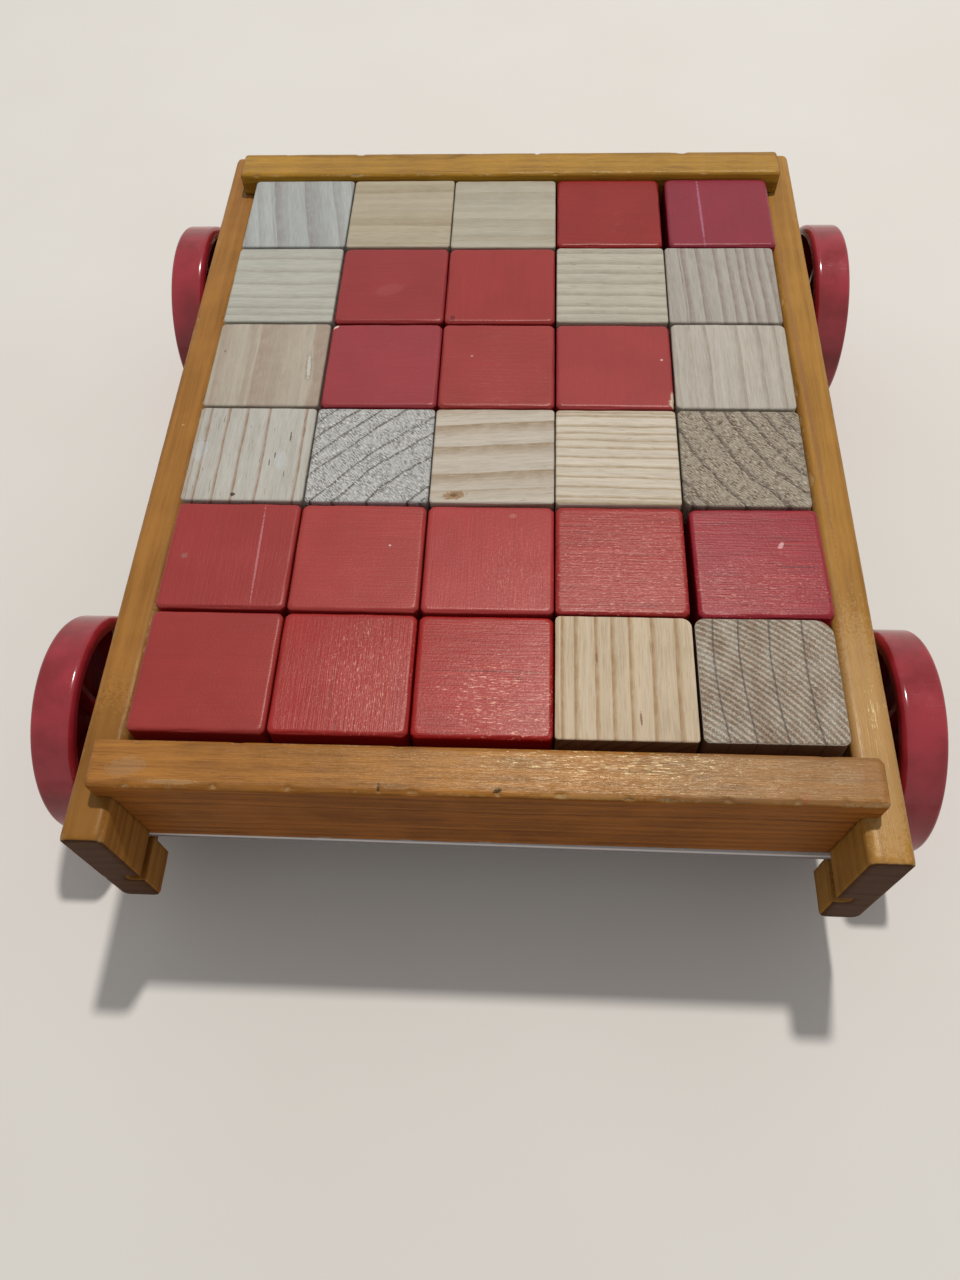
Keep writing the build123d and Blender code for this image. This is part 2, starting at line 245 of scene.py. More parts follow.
class Figure:
    """Growth rings, fibres and end grain of one piece of wood, as sockets of a tree.

    The grain runs along X, Y or Z. The pith is a place across the grain, in mm from the centre, and each
    ring darkens slowly away from it and ends sharply. Lines are where rings end on the middle of the top
    (for end grain on top, along the line from the pith); elsewhere the rings are a ring's width apart.
    """

    def __init__(self, s, centre, grain, tilt=0.0, pith=(60, -40), lines=(), ring=5.0, band=3.0,
                 wobble=0.6, seed=0.0):
        place = s.place_mm(centre, tilt)
        x, y, z = s.split(place)
        a, b, along = {"X": (y, z, x), "Y": (x, z, y), "Z": (x, y, z)}[grain]
        self.place = place
        self.fibres = s.join(s.math("ADD", a, 37.0 * seed), s.math("ADD", b, 11.0 * seed), along)
        sway = s.math("SUBTRACT", s.noise(self.fibres, (0.05, 0.05, 0.018), detail=2), 0.5)
        ripple = s.math("SUBTRACT", s.noise(self.fibres, (0.3, 0.3, 0.06), detail=1), 0.5)
        da = s.math("SUBTRACT", a, pith[0])
        db = s.math("SUBTRACT", b, pith[1])
        radius = s.math("SQRT", s.add(s.times(da, da), s.times(db, db)))
        radius = s.add(radius, s.times(sway, 4 * wobble), s.times(ripple, wobble))
        self.rings = self.even_rings(s, radius, ring, seed)
        if lines:
            if grain == "Z":
                ends = sorted(math.hypot(*pith) + line for line in lines)
            else:
                ends = sorted(math.hypot(line - pith[0], BLOCK_HALF - pith[1]) for line in lines)
            low, high = ends[0] - band, ends[-1] + 0.3
            beyond = s.math("MAXIMUM", s.math("LESS_THAN", radius, low), s.math("GREATER_THAN", radius, high))
            self.rings = s.add(s.bands(radius, low, high, ends, band), s.times(self.rings, beyond))
        self.patterns(s, grain, seed)

    def even_rings(self, s, radius, ring, seed):
        """Rings a ring's width apart, each of its own strength."""
        count = s.math("DIVIDE", radius, ring)
        late = s.curve(s.math("FRACT", count), (0.0, 0.0), (0.4, 0.06), (0.78, 0.55), (0.93, 1.0), (1.0, 0.0))
        whole = s.math("FLOOR", count)
        strength = s.remap(s.white(s.math("ADD", whole, seed)), 0.0, 1.0, 0.4, 1.0)
        return s.times(late, strength)

    def patterns(self, s, grain, seed):
        """Fibre and blotch noises, and masks for the top, the sides and the end grain."""
        self.fine = s.noise(self.fibres, (3.4, 3.4, 0.14), detail=4, roughness=0.6)
        self.streak = s.noise(self.fibres, (0.45, 0.45, 0.012), detail=3)
        self.flecks = s.noise(self.fibres, (1.6, 1.6, 0.16), detail=2)
        self.fibre = s.noise(self.fibres, (4.0, 4.0, 0.3), detail=2)
        nx, ny, nz = s.split(s.normal())
        self.top = s.remap(nz, 0.5, 0.8)
        self.side = s.remap(nz, 0.5, 0.2)
        # sides are rubbed dull by handling
        self.gloss = s.remap(nz, 0.2, 0.8, 0.06, 0.34)
        self.dull = s.remap(nz, 0.2, 0.8, 0.25, 0.0)
        self.end = s.remap(s.math("ABSOLUTE", {"X": nx, "Y": ny, "Z": nz}[grain]), 0.6, 0.9)
        self.own = s.vector("ADD", self.place, (13 * seed, 7 * seed, 3 * seed))
        self.blotch = s.noise(self.own, 0.06, detail=2)


# ---------------------------------------------------------------- meshes
def new_piece(name, vertices, faces):
    mesh = bpy.data.meshes.new(name)
    mesh.from_pydata([tuple(v) for v in vertices], [], faces)
    mesh.update()
    mesh.shade_smooth()
    piece = bpy.data.objects.new(name, mesh)
    bpy.context.scene.collection.objects.link(piece)
    return piece


def coordinates(mesh):
    flat = np.zeros(len(mesh.vertices) * 3)
    mesh.vertices.foreach_get("co", flat)
    return flat.reshape(-1, 3)


def put_coordinates(mesh, places):
    mesh.vertices.foreach_set("co", places.ravel())
    mesh.update()


def normals(mesh):
    flat = np.zeros(len(mesh.vertices) * 3)
    mesh.vertex_normals.foreach_get("vector", flat)
    return flat.reshape(-1, 3)


def store(mesh, name, values):
    attribute = mesh.attributes.new(name, "FLOAT", "POINT")
    attribute.data.foreach_set("value", np.asarray(values, np.float32))


def noise_mm(places, scale, seed=0.0):
    """Smooth noise from about -1 to 1 at each place in mm; scale in 1/mm."""
    shift = Vector((seed * 7.3, seed * 3.1, seed * 5.7))
    return np.array([noise.noise(Vector(p) * scale + shift) for p in places])


def smoothed(mesh, values, rounds):
    """Values at the vertices, each round averaged with their neighbours."""
    pairs = np.zeros(len(mesh.edges) * 2, int)
    mesh.edges.foreach_get("vertices", pairs)
    a, b = pairs[0::2], pairs[1::2]
    count = np.bincount(np.concatenate((a, b)), minlength=len(values))
    for _ in range(rounds):
        total = np.bincount(a, values[b], len(values)) + np.bincount(b, values[a], len(values))
        values = (values + total) / (1 + count)
    return values


# ---------------------------------------------------------------- cubes
def block_node(row, column):
    for kind in ("natural", "red"):
        node = f"{kind}_block_r{row}c{column}"
        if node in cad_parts:
            return node


def turn_of(node):
    """How far a cube is turned about Z, from the faces of its CAD mesh that look to the right."""
    total = Vector((0, 0, 0))
    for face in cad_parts[node].data.polygons:
        if face.normal.x > 0.99:
            total += face.normal * face.area
    return math.atan2(total.y, total.x)


def grid_line(half, edge_band, inner_steps, edge_steps):
    """Places from -half to half, closer together near the ends."""
    inner = np.linspace(-half + edge_band, half - edge_band, inner_steps + 1)
    edge = np.linspace(0, edge_band, edge_steps + 1)[:-1]
    return np.concatenate((-half + edge, inner, half - edge[::-1]))


def cube_lattice(across, upright):
    """Vertices and quads of a cube's surface on two grids, one for X and Y and one for Z."""
    lines = (across, across, upright)
    index = {}
    vertices = []
    faces = []

    def vertex(i, j, k):
        if (i, j, k) not in index:
            index[i, j, k] = len(vertices)
            vertices.append((across[i], across[j], upright[k]))
        return index[i, j, k]

    for axis in range(3):
        first, second = [n for n in range(3) if n != axis]
        for side in (0, len(lines[axis]) - 1):
            for i in range(len(lines[first]) - 1):
                for j in range(len(lines[second]) - 1):
                    quad = []
                    for p, q in ((i, j), (i + 1, j), (i + 1, j + 1), (i, j + 1)):
                        place = [p, q]
                        place.insert(axis, side)
                        quad.append(vertex(*place))
                    if (side == 0) != (axis == 1):
                        quad.reverse()
                    faces.append(quad)
    return np.array(vertices), faces


BLOCK_HALF = 20.0
EDGE_BAND = 4.0
PLAIN_LINE = grid_line(BLOCK_HALF, EDGE_BAND, 16, 9)
PLAIN_GRID = cube_lattice(PLAIN_LINE, PLAIN_LINE)
# for a rough-sawn top
FINE_GRID = cube_lattice(grid_line(BLOCK_HALF, EDGE_BAND, 90, 10), PLAIN_LINE)


def softened(vertices, half, corners, edge):
    """A cube's surface with rounded edges, in mm: the upright edges by corners, the others by edge.

    Corners are near left, near right, far left and far right.
    """
    corner = np.choose((vertices[:, 0] > 0) + 2 * (vertices[:, 1] > 0), corners)[:, None]
    reach = np.abs(vertices[:, :2]).max(1)
    rim = vertices[:, :2] / np.maximum(reach, 1e-9)[:, None] * half
    core = np.clip(rim, -half + corner, half - corner)
    away = rim - core
    away /= np.maximum(np.linalg.norm(away, axis=1), 1e-9)[:, None]
    rim = core + away * corner
    profile = np.stack((reach, vertices[:, 2]), 1)
    inner = np.clip(profile, -half + edge, half - edge)
    out = profile - inner
    length = np.linalg.norm(out, axis=1)
    rounded = inner + out / np.maximum(length, 1e-9)[:, None] * np.minimum(length, edge)[:, None]
    return np.column_stack((rim * (rounded[:, :1] / half), rounded[:, 1]))


def block_mesh(node, look, seed):
    """A cube with softened, slightly uneven edges in place of a CAD cube."""
    low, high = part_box(node)
    centre = (low + high) / 2
    vertices, faces = FINE_GRID if look.get("sawn") else PLAIN_GRID
    places = softened(vertices, BLOCK_HALF, look["corners"], look["edge"])
    piece = new_piece(node + "_wood", places * MM, faces)
    direction = normals(piece.data)
    edge = np.clip((1 - np.abs(direction).max(1)) / 0.25, 0, 1)
    worn = np.clip(noise_mm(places, 0.12, seed) + 0.35 + 0.4 * noise_mm(places, 0.5, seed + 5), 0, 1)
    depth = look["wear"] * edge * worn + 0.05 * (1 + noise_mm(places, 0.16, seed + 9))
    bare = np.zeros(len(places))
    for x, y, z, radius, cut in look.get("chips", ()):
        away = np.linalg.norm(places - np.array((x, y, z)), axis=1) / radius
        away += 0.25 * noise_mm(places, 0.9, seed + 2)
        depth += cut * np.clip(1 - away ** 2, 0, 1)
        bare = np.maximum(bare, np.clip((1.05 - away) * 6, 0, 1))
    if look.get("sawn"):
        depth += sawn_depth(places, direction, look["sawn"], seed)
    put_coordinates(piece.data, (places - direction * depth[:, None]) * MM)
    piece.data.transform(Matrix.Translation(centre) @ Matrix.Rotation(turn_of(node), 4, "Z"))
    store(piece.data, "wear", edge * worn)
    store(piece.data, "bare", bare)
    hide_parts(node)
    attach(piece, node)
    return piece, centre


def sawn_depth(places, direction, sawn, seed):
    """Depth in mm of the curved furrows that a coarse saw left across the top.

    Sawn is the furrows' pitch and depth, and their centre, all in mm.
    """
    pitch, deep, x, y = sawn
    reach = np.hypot(places[:, 0] - x, places[:, 1] - y) + 0.3 * noise_mm(places, 0.3, seed)
    wave = 0.5 + 0.5 * np.cos(2 * np.pi * reach / pitch)
    broken = np.clip(0.7 + 0.6 * noise_mm(places, 0.4, seed + 1), 0.1, 1)
    return deep * wave * broken * np.clip(direction[:, 2], 0, 1) ** 2


# How each cube looks, by row and column. Row 1 is the far one. All measures are in mm and degrees.
# - grain runs along X or Y, or Z for end grain on top; pith and lines are as in Figure
# - marks on top: x, y, turn, length, width, colour, strength
# - chips: x, y, z, radius, depth
# - hatch: turn and strength; sawn: the furrows' pitch and depth, and the x and y of their centre
# - painted_glints: strength of glint dots painted into the colour as highlights; painted_glint_place: x, y,
#   length and width of the place where they are painted
# - side: colour the sides are multiplied by; the near row's A08878 is painted shade in the gap by the front
#   board
BARE = {
    (1, 1): dict(
        grain="Y", tilt=-10, pith=(70, -30), lines=(-9.3, 3), band=6, pale="A5A7A2", late="7E7574",
        contrast=0.68,
    ),
    (1, 2): dict(
        grain="X", pith=(50, 70), lines=(-8.3, 12, 19), band=7, pale="AB9F8A", late="83714F", contrast=0.5,
    ),
    (1, 3): dict(
        grain="X", pith=(-60, 60), lines=(-13, -3, 13, 20), band=5, pale="AAA291", late="85765B",
        contrast=0.38,
    ),
    (2, 1): dict(
        grain="X", pith=(60, 60), lines=(13, 6.5, -0.3, -7.5, -13.2, -17), band=2.5, pale="ADAA9F",
        late="7D7968", contrast=0.45,
    ),
    (2, 4): dict(
        grain="X", pith=(60, 60), lines=(16, 10, 5, 0, -6, -12, -16), band=2.5, pale="B3AC9C",
        late="766955", contrast=0.5, flecks=0.5,
    ),
    (2, 5): dict(
        grain="Y", tilt=-2.5, pith=(70, 50), lines=(-13.8, -8.4, -1.9, 2.8, 6.9, 9.9, 13.8, 17.5), band=2.4,
        pale="A59E93", late="725B4F", contrast=0.62,
    ),
    (3, 1): dict(
        grain="Y", pith=(40, -90), lines=(-4, 14), band=12, pale="ABA191", late="957F6F", contrast=0.8,
        flecks=0.2,
        marks=(
            (14.6, -1.5, 94, 16, 2.6, "7E6C5C", 0.45),
            (14.6, -1.5, 94, 13, 1.3, "C6C2BA", 0.7),
            (-16.5, 6, 90, 1.6, 0.8, "6B5646", 0.6),
        ),
    ),
    (3, 5): dict(
        grain="Y", tilt=-1, pith=(-70, 50), lines=(-7, 3.8, 10.8, 16.6), band=2, pale="B1A99C",
        late="7A6B5B", contrast=0.47, corners=(2.0, 2.0, 2.0, 2.0),
    ),
    (4, 1): dict(
        grain="Y", pith=(-80, 40), lines=(-15.5, -9.3, -3.2, 4.7, 17.6), band=1.3, pale="B1ADA3",
        late="866142", contrast=0.8, flecks=0.5,
        marks=(
            (12.7, 7, 92, 5, 0.6, "4C3A2C", 0.8),
            (8.5, -1, 92, 3, 0.5, "4C3A2C", 0.8),
            (7, -4, 92, 3, 0.5, "4C3A2C", 0.8),
            (12.5, -9, 92, 3, 0.4, "4C3A2C", 0.6),
            (-3, -17.5, 0, 1.8, 1.8, "32261C", 0.9),
            (-17, 1, 90, 10, 5, "C3C8CC", 0.3),
            (10.5, -3, 90, 9, 4, "BFC4C8", 0.28),
        ),
    ),
    (4, 2): dict(
        grain="Z", pith=(105, -108), lines=(-23, -12.9, -5.1, 0.4, 8.5, 13.8, 19, 23.8), band=1.1,
        wobble=0.9, pale="B7B5B1", late="483F35", contrast=1.0, hatch=(135, 0.85), grit="6E665C",
    ),
    (4, 3): dict(
        grain="X", tilt=-4, pith=(-70, -30), lines=(-7.5, 4.2, 13.6, 22), band=5, pale="BDB2A3",
        late="856945", contrast=0.76, flecks=0.4,
        marks=((-12, -17, 10, 8, 3.6, "8A6438", 0.75), (-12, -17, 10, 3, 1.4, "5A3D20", 0.7)),
    ),
    (4, 4): dict(
        grain="X", tilt=1.2, pith=(70, 50),
        lines=(16.5, 11.8, 8.7, 5.8, 2.6, -1.4, -5.5, -9.9, -14.3, -18.1), band=1.5, pale="C7BBA9",
        late="8C6E43", contrast=0.75, flecks=0.3,
    ),
    (4, 5): dict(
        grain="Z", pith=(100, 65), lines=(-20.8, -15.7, -10.3, -4.5, 2.9, 12.7, 22.2), band=2.0, wobble=0.8,
        pale="A19584", late="47403D", contrast=0.9, hatch=(-40, 0.9), grit="604830",
        corners=(3.6, 1.6, 1.6, 1.6),
    ),
    (6, 4): dict(
        grain="Y", pith=(75, -45), lines=(-18.4, -14.6, -8.6, -3.9, 1.2, 7.6, 14.6), band=1.4, wobble=0.12,
        side="A08878", pale="C2AF94", late="8A5E2A", contrast=0.7, corners=(1.0, 1.0, 1.4, 3.0), edge=0.3,
        marks=(
            (4, -13, 92, 5, 0.7, "6E3F28", 0.7),
            (-8, 6, 92, 4, 0.5, "6E3F28", 0.6),
            (7.5, 10, 92, 7, 0.35, "5C4630", 0.5),
        ),
    ),
    (6, 5): dict(
        grain="Z", pith=(150, 8), lines=(-27, -10.4, -0.7, 8, 15.4, 24), band=0.8, wobble=0.3,
        side="A08878", pale="B4AB9C", late="836C57", contrast=0.8, corners=(1.8, 2.2, 3.0, 5.0), edge=0.6,
        sawn=(1.75, 0.3, -57, -72),
    ),
}
BARE_SHAPE = dict(corners=(1.3, 1.3, 1.3, 1.3), edge=0.6, wear=0.15, side="FFFFFF")
PAINTED = {
    (1, 4): dict(colour="851C1B", grain="X"),
    (1, 5): dict(colour="812333", grain="Y", marks=((-7, 0, 91, 44, 1.0, "A86F86", 0.6),)),
    (2, 2): dict(colour="89292B", grain="X", marks=((-1, -3, 20, 12, 6, "A8605C", 0.15),)),
    (2, 3): dict(colour="8F2C2B", grain="Y", marks=((-17, -18, 0, 2, 3, "4A1614", 0.7),)),
    (3, 2): dict(colour="8D2F36", grain="X", marks=((-18.5, 18, 30, 2.2, 1.2, "D8C8B4", 0.9),)),
    (3, 3): dict(colour="902F2D", grain="X", marks=((-9, 4, 0, 1, 1, "D0B0A4", 0.4),)),
    (3, 4): dict(
        colour="923232", grain="Y", chips=((20.3, -17.5, 20, 2.2, 0.4), (20.4, -14.5, 20, 1.8, 0.3)),
        marks=((16.5, 2.5, 0, 1, 1, "D0B0A4", 0.7),),
    ),
    (5, 1): dict(
        colour="902D2C", grain="Y",
        marks=((9, 0, 91, 40, 0.7, "C98C92", 0.45), (-14, -1, 0, 2.2, 2.2, "8E6A64", 0.5)),
    ),
    (5, 2): dict(colour="993431", grain="X", marks=((9.5, 4, 0, 0.8, 0.8, "E0D0C8", 0.65),)),
    (5, 3): dict(
        colour="9C3332", grain="Y", ridges=0.15, painted_glints=0.2, painted_glint_place=(9, -6, 22, 32),
        marks=((7, 16, 20, 2.6, 1.8, "A8705E", 0.5),),
    ),
    (5, 4): dict(colour="902120", grain="X", ridges=0.45, painted_glints=0.5, painted_glint_place=(2, -3, 46, 38)),
    (5, 5): dict(
        colour="8A1A28", grain="X", ridges=0.6, painted_glints=0.35, painted_glint_place=(-2, -9, 40, 22),
        marks=((7, 6, 65, 2.8, 1.5, "DBA9A8", 0.65), (11, -2, 0, 14, 0.6, "4A0E10", 0.7)),
    ),
    (6, 1): dict(colour="902D2A", grain="X"),
    (6, 2): dict(colour="942220", grain="Y", ridges=0.25, painted_glints=0.45, painted_glint_place=(7, -1, 26, 38)),
    (6, 3): dict(
        colour="931614", grain="X", ridges=0.35, painted_glints=0.65, painted_glint_place=(7, -7, 34, 28),
        marks=((0, 1.2, 0, 40, 0.5, "5C1210", 0.7), (10, -1, -20, 4, 0.9, "5C1210", 0.5)),
    ),
}
PAINTED_SHAPE = dict(corners=(2.0, 2.0, 2.0, 2.0), edge=1.3, wear=0.3)


def bare_wood(name, centre, seed, look):
    s = Shade(name)
    figure = {key: look[key] for key in ("grain", "tilt", "pith", "lines", "band", "wobble") if key in look}
    f = Figure(s, centre, seed=seed, **figure)
    pale, late = rgb(look["pale"]), rgb(look["late"])
    uneven = s.remap(s.noise(f.place, 0.25, detail=2), 0.3, 0.7, 0.7, 1.0)
    colour = s.mix(s.remap(f.streak, 0.3, 0.7), shade(pale, 0.92), shade(pale, 1.08))
    colour = s.mix(s.remap(f.blotch, 0.35, 0.65, 0.0, 0.4), colour, shade(pale, 1.1))
    colour = s.mix(s.times(f.rings, uneven, look["contrast"]), colour, late)
    colour = s.mix(s.remap(f.fine, 0.4, 0.75, 0.0, 0.3), colour, shade(late, 0.8))
    colour = s.mix(s.remap(f.fibre, 0.55, 0.75, 0.0, 0.35), colour, shade(pale, 1.25))
    fleck = s.times(s.remap(f.flecks, 0.68, 0.74), look.get("flecks", 0.1))
    colour = s.mix(fleck, colour, shade(late, 0.5))
    height = s.add(s.times(f.rings, 0.03), s.times(f.fine, 0.1), s.times(f.fibre, 0.04))
    if "hatch" in look:
        turn, strength = look["hatch"]
        marks, specks = saw_hatch(s, f.place, turn)
        colour = s.mix(s.times(marks, f.top, strength), colour, rgb(look["grit"]))
        colour = s.mix(s.times(specks, f.top, strength), colour, shade(pale, 1.5))
        height = s.add(height, s.times(marks, -0.1), s.times(specks, 0.05))
    if "sawn" in look:
        colour, furrow = sawn_colour(s, f, colour, look["sawn"], pale, late)
        height = s.add(height, s.times(furrow, f.top, -0.15))
    colour = marked(s, centre, colour, look.get("marks", ()))
    colour = s.mix(s.times(s.attribute("wear"), 0.1), colour, shade(late, 1.2))
    # Sides multiplied by the side colour: on the near row this is painted shade in the gap by the front
    # board.
    colour = s.mix(f.side, colour, rgb(look["side"]), "MULTIPLY")
    s.set(Base_Color=colour, Roughness=s.remap(f.fine, 0.2, 0.8, 0.65, 0.85), Specular_IOR_Level=0.2)
    s.bump(height)
    return s.material


def marked(s, centre, colour, marks):
    """Colour with a piece's own scratches, dents and stains on top."""
    place = s.place_mm(centre)
    for x, y, turn, length, width, code, strength in marks:
        spot = s.mark(place, x, y, turn, length, width)
        colour = s.mix(s.times(spot, strength), colour, rgb(code))
    return colour


def saw_hatch(s, place, turn):
    """Short fine marks across an end-grain face in the saw's direction: dark ones and pale ones."""
    spun = s.spun(place, -turn)
    marks = s.noise(spun, (0.6, 2.6, 1.0), detail=3, roughness=0.65)
    rows = s.noise(place, 0.3, detail=1)
    dark = s.times(s.remap(marks, 0.51, 0.57), s.remap(rows, 0.35, 0.6, 0.35, 1.0))
    return dark, s.remap(marks, 0.46, 0.36)


def sawn_colour(s, f, colour, sawn, pale, late):
    """Pale grey crests and brown furrows of a rough-sawn face, and the furrows' wave."""
    pitch, _, x, y = sawn
    dx, dy, _ = s.split(s.vector("SUBTRACT", f.place, (x, y, 0)))
    reach = s.math("SQRT", s.add(s.times(dx, dx), s.times(dy, dy)))
    fray = s.math("SUBTRACT", s.noise(f.place, (2.4, 1.8, 1.0), detail=4, roughness=0.7), 0.5)
    turns = s.math("MULTIPLY", s.add(reach, s.times(fray, 3.0)), 2 * math.pi / pitch)
    wave = s.add(s.times(s.math("COSINE", turns), 0.5), 0.5)
    fuzz = s.noise(f.place, (1.7, 2.6, 1.0), detail=3, roughness=0.7)
    zone = s.noise(f.place, (0.16, 0.07, 0.1), detail=2)
    brown = s.mix(s.remap(fuzz, 0.35, 0.65), shade(late, 0.35), shade(late, 1.7))
    crest = s.mix(s.remap(fuzz, 0.35, 0.65), shade(pale, 0.7), shade(pale, 1.6))
    torn = s.times(s.math("SUBTRACT", fuzz, 0.5), 4.6)
    furrow = s.remap(s.add(wave, torn, s.times(s.math("SUBTRACT", zone, 0.5), 1.8)), 0.15, 0.85)
    rough = s.mix(furrow, crest, brown)
    rough = s.mix(s.times(f.rings, 0.65), rough, rgb("4A4444"))
    return s.mix(f.top, colour, rough), wave


def painted_wood(name, centre, seed, look):
    s = Shade(name)
    f = Figure(s, centre, look["grain"], pith=(50, -45), seed=seed)
    base = rgb(look["colour"])
    ridges = look.get("ridges", 0.1)
    tint = s.mix(s.remap(f.blotch, 0.3, 0.7), shade(base, 0.95), shade(base, 1.05))
    tint = s.mix(s.times(f.rings, 0.1), tint, shade(base, 0.8))
    peel = s.noise(f.own, 1.3, detail=3, roughness=0.6)
    ripple = s.noise(f.fibres, (1.7, 1.7, 0.05), detail=4, roughness=0.6)
    tint = s.mix(s.remap(peel, 0.5, 0.75, 0.0, 0.3), tint, shade(base, 1.3))
    # Painted shade and painted highlight of the grain ripple: darker in its hollows, lighter on its crests.
    tint = s.mix(s.remap(ripple, 0.45, 0.35, 0.0, ridges), tint, shade(base, 0.4))
    tint = s.mix(s.remap(ripple, 0.55, 0.65, 0.0, ridges), tint, shade(base, 1.4))
    # Painted highlight: glint dots mixed into the colour in a ragged place on top.
    painted_glint_dots = s.remap(s.noise(f.fibres, (3.4, 3.4, 0.5), detail=2, roughness=0.6), 0.58, 0.66)
    if "painted_glints" in look:
        tint = s.mix(s.times(painted_glint_dots, s.patch(f.place, look["painted_glint_place"]), look["painted_glints"]), tint, rgb("F0B498"))
    worn = s.remap(s.times(s.attribute("wear"), s.noise(f.place, 0.8, detail=3)), 0.35, 0.6)
    tint = s.mix(s.times(worn, 0.3), tint, rgb("A9564C"))
    tint = marked(s, centre, tint, look.get("marks", ()))
    tint = s.mix(s.attribute("bare"), tint, rgb("C9B79C"))
    # Painted shade: the upright sides are darkened to a deeper red.
    tint = s.mix(f.side, tint, (0.9, 0.6, 0.6), "MULTIPLY")
    s.set(
        Base_Color=tint,
        Roughness=s.add(f.dull, s.remap(peel, 0.35, 0.65, 0.36, 0.3)),
        Specular_IOR_Level=f.gloss,
        Specular_Tint=(1.0, 0.82, 0.74),
    )
    grain = s.times(s.add(s.times(ripple, 0.6), s.times(peel, 0.15)), 0.08 + 0.12 * ridges)
    s.bump(s.add(grain, s.times(peel, 0.03), s.times(f.fine, 0.04)))
    return s.material


def make_blocks():
    for row in range(1, ROWS + 1):
        for column in range(1, COLUMNS + 1):
            node = block_node(row, column)
            seed = row * 1.7 + column * 0.61
            if (row, column) in BARE:
                look = BARE_SHAPE | BARE[row, column]
                piece, centre = block_mesh(node, look, seed)
                material = bare_wood(node + "_finish", centre, seed, look)
            else:
                look = PAINTED_SHAPE | PAINTED[row, column]
                piece, centre = block_mesh(node, look, seed)
                material = painted_wood(node + "_finish", centre, seed, look)
            piece.data.materials.append(material)


# ---------------------------------------------------------------- boards and rails
def fine_copy(node, voxel_mm):
    """The mesh of a CAD node, remeshed to small even faces."""
    rough = bpy.data.objects.new(node + "_rough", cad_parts[node].data.copy())
    bpy.context.scene.collection.objects.link(rough)
    remesh = rough.modifiers.new("fine", "REMESH")
    remesh.mode = "VOXEL"
    remesh.voxel_size = voxel_mm * MM
    bpy.context.view_layer.update()
    mesh = bpy.data.meshes.new_from_object(rough.evaluated_get(bpy.context.evaluated_depsgraph_get()))
    bpy.data.objects.remove(rough)
    mesh.materials.clear()
    mesh.shade_smooth()
    return mesh


def knocked(places, edge, dents, depth_mm, seed, knocks):
    """Depth in mm at each place: seeded dents along the edges, and the knocks on the top's outer arris."""
    random = np.random.default_rng(seed)
    on_edge = np.flatnonzero(edge > 0.7)
    low, high = places.min(0), places.max(0)
    grain = np.argmax(high - low)
    ragged = 0.35 * noise_mm(places / MM, 0.8, seed + 1) + 0.2 * noise_mm(places / MM, 2.0, seed + 2)
    depth = np.zeros(len(places))
    for _ in range(dents):
        middle = places[random.choice(on_edge)]
        radius = np.full(3, random.uniform(0.5, 1.1))
        radius[grain] *= random.uniform(1.2, 3.5)
        away = (((places - middle) / MM / radius) ** 2).sum(1) + ragged
        depth = np.maximum(depth, random.uniform(0.3, 1.0) * depth_mm * np.clip(1 - away, 0, 1))
    outer = low[1] if low[1] < 0 else high[1]
    for along, length in knocks:
        middle = np.array((along * MM, outer, high[2]))
        away = (((places - middle) / MM / (length / 2, 2.0, 1.5)) ** 2).sum(1) + 1.6 * ragged
        depth = np.maximum(depth, depth_mm * np.clip(1 - away, 0, 1))
    return depth


def weathered(node, voxel_mm, dents, depth_mm, seed, knocks=()):
    """A finer copy of a CAD piece of wood with dented edges; its wear attribute is 1 along them."""
    mesh = fine_copy(node, voxel_mm)
    places = coordinates(mesh)
    low, high = places.min(0), places.max(0)
    direction = normals(mesh)
    edge = np.clip((1 - np.abs(direction).max(1)) / 0.25, 0, 1)
    depth = knocked(places, edge, dents, depth_mm, seed, knocks)
    depth += 0.05 * (1 + noise_mm(places / MM, 0.15, seed))
    places = np.clip(places - direction * (depth * MM)[:, None], low, high)
    put_coordinates(mesh, places)
    piece = bpy.data.objects.new(node + "_wood", mesh)
    bpy.context.scene.collection.objects.link(piece)
    wear = smoothed(mesh, edge, 4) * (0.6 + 0.6 * noise_mm(places / MM, 0.06, seed + 3))
    store(mesh, "wear", np.clip(wear + 0.5 * depth / depth_mm, 0, 1))
    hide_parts(node)
    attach(piece, "tray")
    return piece


